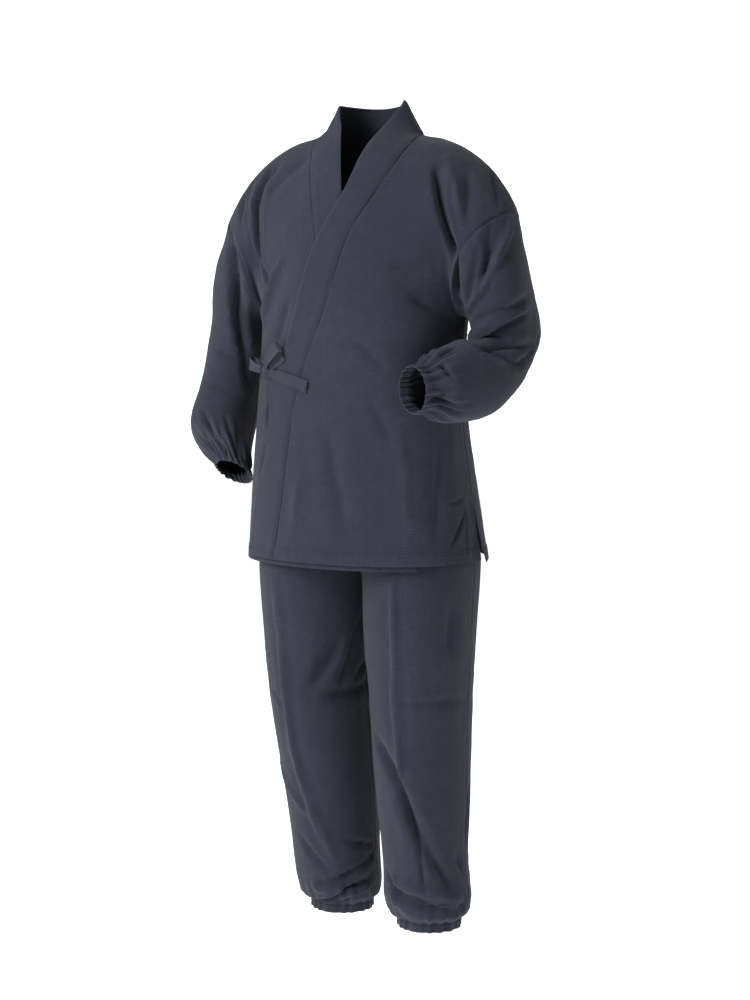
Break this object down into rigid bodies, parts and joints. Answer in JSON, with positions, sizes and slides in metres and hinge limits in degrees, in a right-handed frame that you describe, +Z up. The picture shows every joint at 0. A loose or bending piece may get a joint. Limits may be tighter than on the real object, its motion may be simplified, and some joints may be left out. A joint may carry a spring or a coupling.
{
  "type": "samue",
  "caption": "Samue work set in its worn, hollow form: crossed jacket with collar band, side bow and elastic-gathered sleeves over straight trousers gathered at the ankles.",
  "frame": {"origin": "middle of the neck opening at the base of the neck, where the shoulders of the wearer carry the set", "axes": "+Z up, -Y towards the front of the garment, +X towards the wearer's left"},
  "size_m": [0.5888, 0.3194, 1.3314],
  "materials": {
    "cloth": "matt plain weave, soft sheen",
    "band_cloth": "matt plain weave, top-stitched",
    "tie_cloth": "matt plain weave, edge-stitched",
    "waist_cloth": "matt plain weave, gathered over elastic"
  },
  "bodies": {
    "root": {"front_left": "cloth", "sleeve_left": "cloth", "trousers_front_left": "cloth", "trousers_back_left": "cloth", "front_right": "cloth", "sleeve_right": "cloth", "trousers_front_right": "cloth", "trousers_back_right": "cloth", "back": "cloth", "collar": "band_cloth", "waistband": "waist_cloth", "tie_tail": "tie_cloth", "tie_front": "tie_cloth", "tie_side": "tie_cloth", "tie_loop_long": "tie_cloth", "tie_loop_short": "tie_cloth", "tie_knot": "tie_cloth"}
  },
  "joints": []
}
